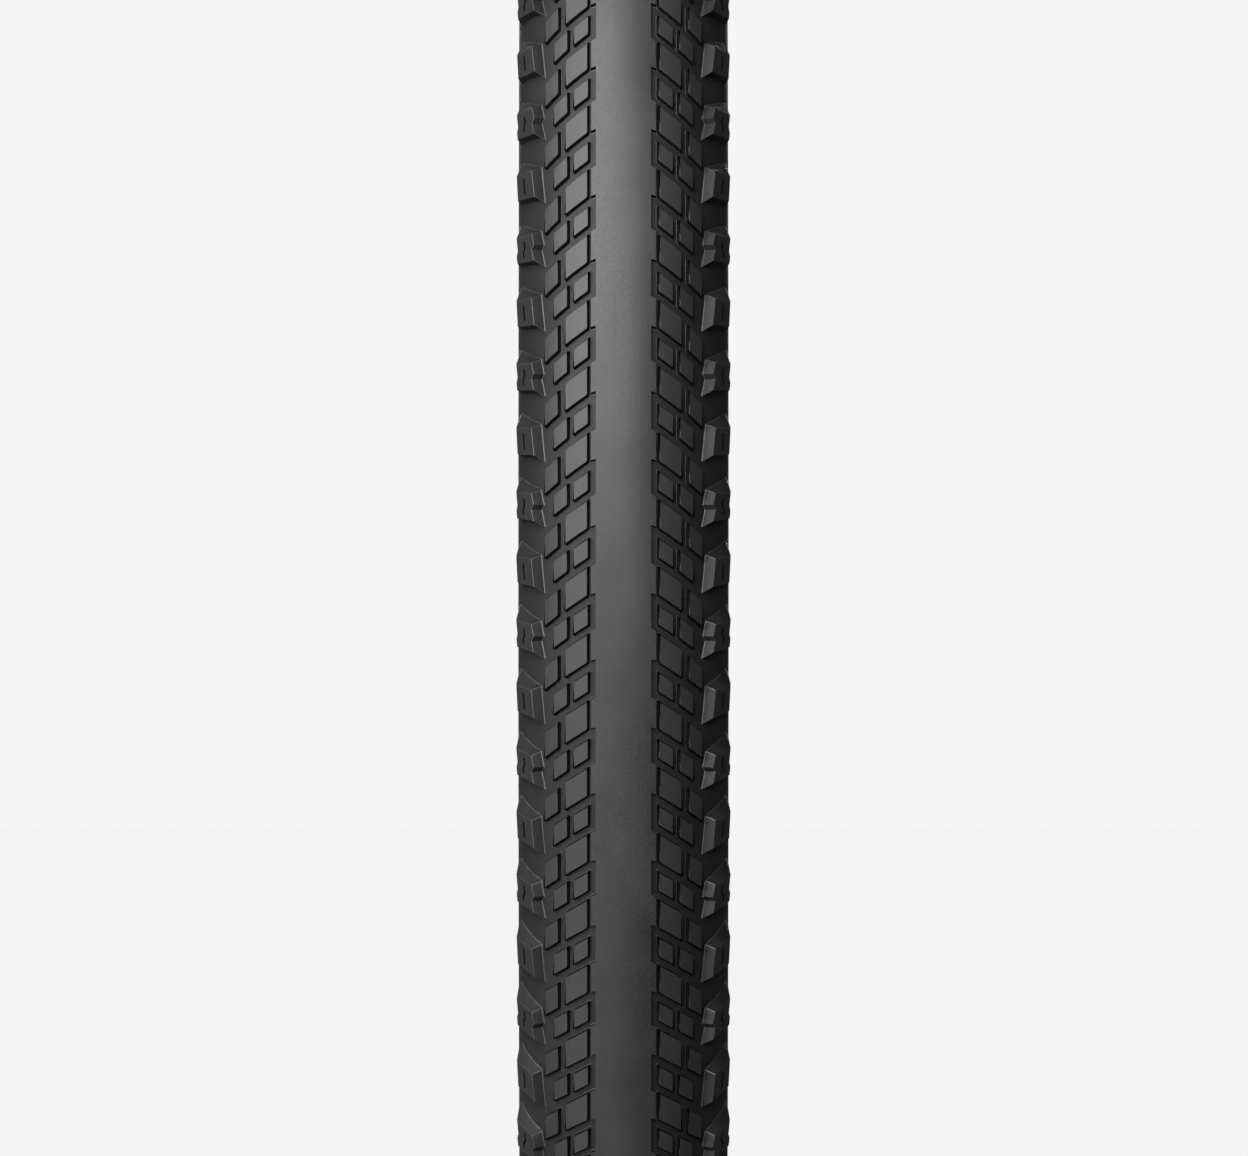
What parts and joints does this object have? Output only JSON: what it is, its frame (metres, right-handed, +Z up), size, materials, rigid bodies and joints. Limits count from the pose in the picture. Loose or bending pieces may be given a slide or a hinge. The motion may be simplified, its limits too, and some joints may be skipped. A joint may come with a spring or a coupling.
{
  "type": "bicycle tyre",
  "caption": "Folding bicycle tyre for mixed roads, with a smooth centre band, diamond tread blocks and side knobs over a round casing.",
  "frame": {"origin": "centre of the wheel that the tyre fits, on the axle and midway between the sidewalls", "axes": "+Y along the axle, +Z up; the tread's chevrons point up where the tread faces +X"},
  "size_m": [0.7039, 0.041, 0.704],
  "materials": {
    "band_rubber": "smooth moulded tread rubber, satin",
    "tread_rubber": "moulded tread rubber, matte, with a fine grain",
    "knob_rubber": "moulded soft tread rubber, matte",
    "base_rubber": "plain black rubber",
    "belt_weave": "aramid weave, matte",
    "ply_weave": "rubberised nylon cord, matte",
    "liner_rubber": "thin air-tight rubber, satin, with the cords showing through",
    "bead_fibre": "bundled aramid fibre",
    "sidewall_rubber": "thin sidewall rubber over cords, satin",
    "chafer_weave": "rubberised chafer cloth, matte"
  },
  "bodies": {
    "root": {"centre_tread": "band_rubber", "shoulder_tread_left": "tread_rubber", "shoulder_tread_right": "tread_rubber", "large_blocks_left": "tread_rubber", "large_blocks_right": "tread_rubber", "small_blocks_left": "tread_rubber", "small_blocks_right": "tread_rubber", "mid_blocks_left": "tread_rubber", "mid_blocks_right": "tread_rubber", "outer_blocks_left": "tread_rubber", "outer_blocks_right": "tread_rubber", "plain_knobs_left": "knob_rubber", "plain_knobs_right": "knob_rubber", "notched_knobs_left": "knob_rubber", "notched_knobs_right": "knob_rubber", "undertread": "base_rubber", "puncture_belt": "belt_weave", "casing_ply": "ply_weave", "inner_liner": "liner_rubber", "bead_core_left": "bead_fibre", "bead_core_right": "bead_fibre", "bead_filler_left": "base_rubber", "bead_filler_right": "base_rubber", "sidewall_left": "sidewall_rubber", "sidewall_right": "sidewall_rubber", "chafer_left": "chafer_weave", "chafer_right": "chafer_weave"}
  },
  "joints": []
}
